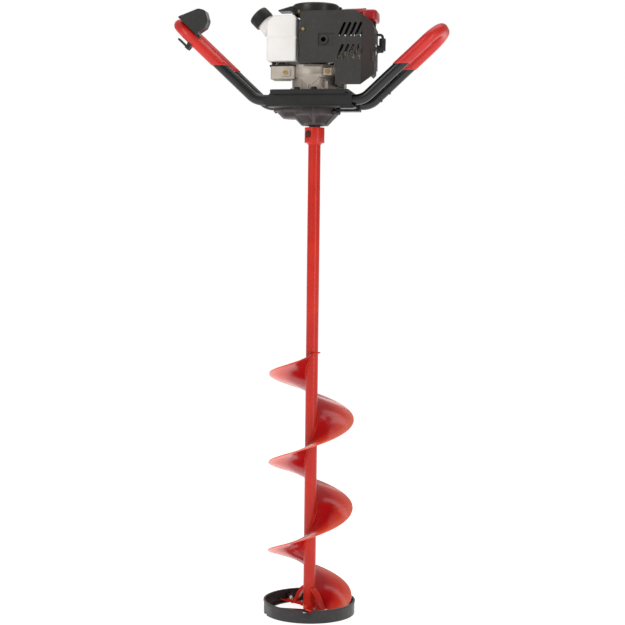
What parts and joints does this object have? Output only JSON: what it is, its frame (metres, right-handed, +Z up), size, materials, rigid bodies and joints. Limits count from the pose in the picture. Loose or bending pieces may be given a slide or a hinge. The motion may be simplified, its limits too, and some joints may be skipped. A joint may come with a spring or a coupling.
{
  "type": "ice fishing auger",
  "caption": "Hand-held petrol auger: small vertical-crank engine on a reduction gearbox, two handlebar loops and a long red helical flight with a guard ring round the blades.",
  "frame": {"origin": "centre of the guard ring, on its bottom rest face", "axes": "+Z up the auger and crank axis, +X towards the pull handle and spark plug, -Y the front, where the muffler outlet faces"},
  "size_m": [0.6353, 0.2167, 1.4115],
  "materials": {
    "red_paint": "gloss",
    "black_paint": "gloss",
    "red_vinyl": "gloss",
    "cast_grey": "cast, painted",
    "cast_alloy": "cast",
    "shroud_plastic": "textured",
    "black_plastic": "satin",
    "white_plastic": "satin",
    "red_plastic": "gloss",
    "zinc": "plated",
    "brass_plated": "plated",
    "gear_steel": "machined",
    "dark_steel": "oiled",
    "black_rubber": "matte",
    "guard_plastic": "satin",
    "rope_cord": "braided",
    "fuel_hose": "translucent",
    "filter_foam": "open foam"
  },
  "bodies": {
    "power_head": {"gearcase_lower": "cast_grey", "gearcase_upper": "cast_grey", "shaft_seal": "black_rubber", "grease_plug": "black_plastic", "top_plate": "black_paint", "plate_bolts": "black_paint", "left_handlebar": "black_paint", "right_handlebar": "black_paint", "cable_studs": "black_plastic", "clutch_housing": "cast_alloy", "crankcase": "cast_alloy", "crankcase_screws": "brass_plated", "engine_block": "dark_steel", "cylinder": "cast_alloy", "piston": "cast_alloy", "spark_plug": "zinc", "plug_boot": "black_rubber", "muffler": "dark_steel", "starter_plate": "black_plastic", "ignition_coil": "dark_steel", "recoil_housing": "black_plastic", "engine_shroud": "shroud_plastic", "fuel_tank": "white_plastic", "tank_bracket": "black_paint", "fuel_lines": "fuel_hose", "carburettor": "cast_alloy", "air_filter_base": "black_plastic", "air_filter": "filter_foam", "throttle_housing": "black_plastic", "throttle_cable": "black_rubber", "clamp_bars": "black_paint", "hand_grips": "red_vinyl", "bearings": "gear_steel", "cover_screws": "zinc"},
    "auger": {"auger_tube": "red_paint", "auger_flighting": "red_paint", "cutting_head": "red_paint", "cutting_blades": "red_paint", "blade_bolts": "zinc", "drive_collar": "red_paint", "collar_bolt": "dark_steel", "output_shaft": "dark_steel", "output_gear": "gear_steel"},
    "guard": {"blade_guard": "guard_plastic", "guard_screws": "zinc"},
    "idler": {"idler_gear": "gear_steel"},
    "clutch_output": {"input_pinion": "gear_steel", "clutch_drum": "gear_steel"},
    "crank": {"crankshaft": "dark_steel", "clutch_shoes": "dark_steel", "flywheel": "cast_alloy"},
    "starter_pulley": {"recoil_pulley": "black_plastic"},
    "starter_grip": {"pull_handle": "red_plastic", "recoil_rope": "rope_cord"},
    "tank_cap": {"fuel_cap": "black_plastic"},
    "choke": {"choke_lever": "black_plastic"},
    "primer": {"primer_bulb": "red_plastic"},
    "throttle": {"throttle_lever": "black_plastic"},
    "switch": {"stop_switch": "red_plastic"},
    "filter_lid": {"air_filter_cover": "shroud_plastic"}
  },
  "joints": [
    {"name": "auger_spin", "type": "hinge", "parent": "power_head", "child": "auger", "pos_m": [0, 0, 1.15], "axis": [0, 0, 1], "continuous": true},
    {"name": "idler_spin", "type": "hinge", "parent": "power_head", "child": "idler", "pos_m": [-0.045, 0, 1.18], "axis": [0, 0, 1], "continuous": true},
    {"name": "pinion_spin", "type": "hinge", "parent": "power_head", "child": "clutch_output", "pos_m": [0, 0, 1.19], "axis": [0, 0, 1], "continuous": true},
    {"name": "crank_spin", "type": "hinge", "parent": "power_head", "child": "crank", "pos_m": [0, 0, 1.31], "axis": [0, 0, 1], "continuous": true},
    {"name": "starter_pulley_spin", "type": "hinge", "parent": "power_head", "child": "starter_pulley", "pos_m": [0, 0, 1.4045], "axis": [0, 0, -1], "range_deg": [0, 1325]},
    {"name": "starter_pull", "type": "slide", "parent": "power_head", "child": "starter_grip", "axis": [1, 0, 0], "range_m": [0, 0.6]},
    {"name": "fuel_cap_lift", "type": "slide", "parent": "power_head", "child": "tank_cap", "axis": [-0.7071, 0, 0.7071], "range_m": [0, 0.045]},
    {"name": "choke_turn", "type": "hinge", "parent": "power_head", "child": "choke", "pos_m": [0.031, 0.06, 1.322], "axis": [1, 0, 0], "range_deg": [0, 75]},
    {"name": "primer_press", "type": "slide", "parent": "power_head", "child": "primer", "axis": [0, 0, 1], "range_m": [0, 0.003]},
    {"name": "throttle_squeeze", "type": "hinge", "parent": "power_head", "child": "throttle", "pos_m": [-0.28537, -0.062, 1.31152], "axis": [0, 1, 0], "range_deg": [0, 8]},
    {"name": "stop_switch_slide", "type": "slide", "parent": "power_head", "child": "switch", "axis": [-0.7314, 0, 0.682], "range_m": [0, 0.005]},
    {"name": "filter_lid_off", "type": "slide", "parent": "power_head", "child": "filter_lid", "axis": [0, 1, 0], "range_m": [0, 0.05]},
    {"name": "guard_off", "type": "slide", "parent": "auger", "child": "guard", "axis": [0, 0, -1], "range_m": [0, 0.08]}
  ],
  "couplings": [
    {"joint": "idler_spin", "follows": "auger_spin", "ratio": -5},
    {"joint": "pinion_spin", "follows": "auger_spin", "ratio": 27.143},
    {"joint": "starter_pulley_spin", "follows": "starter_pull", "rad_per_m": 38.462}
  ]
}
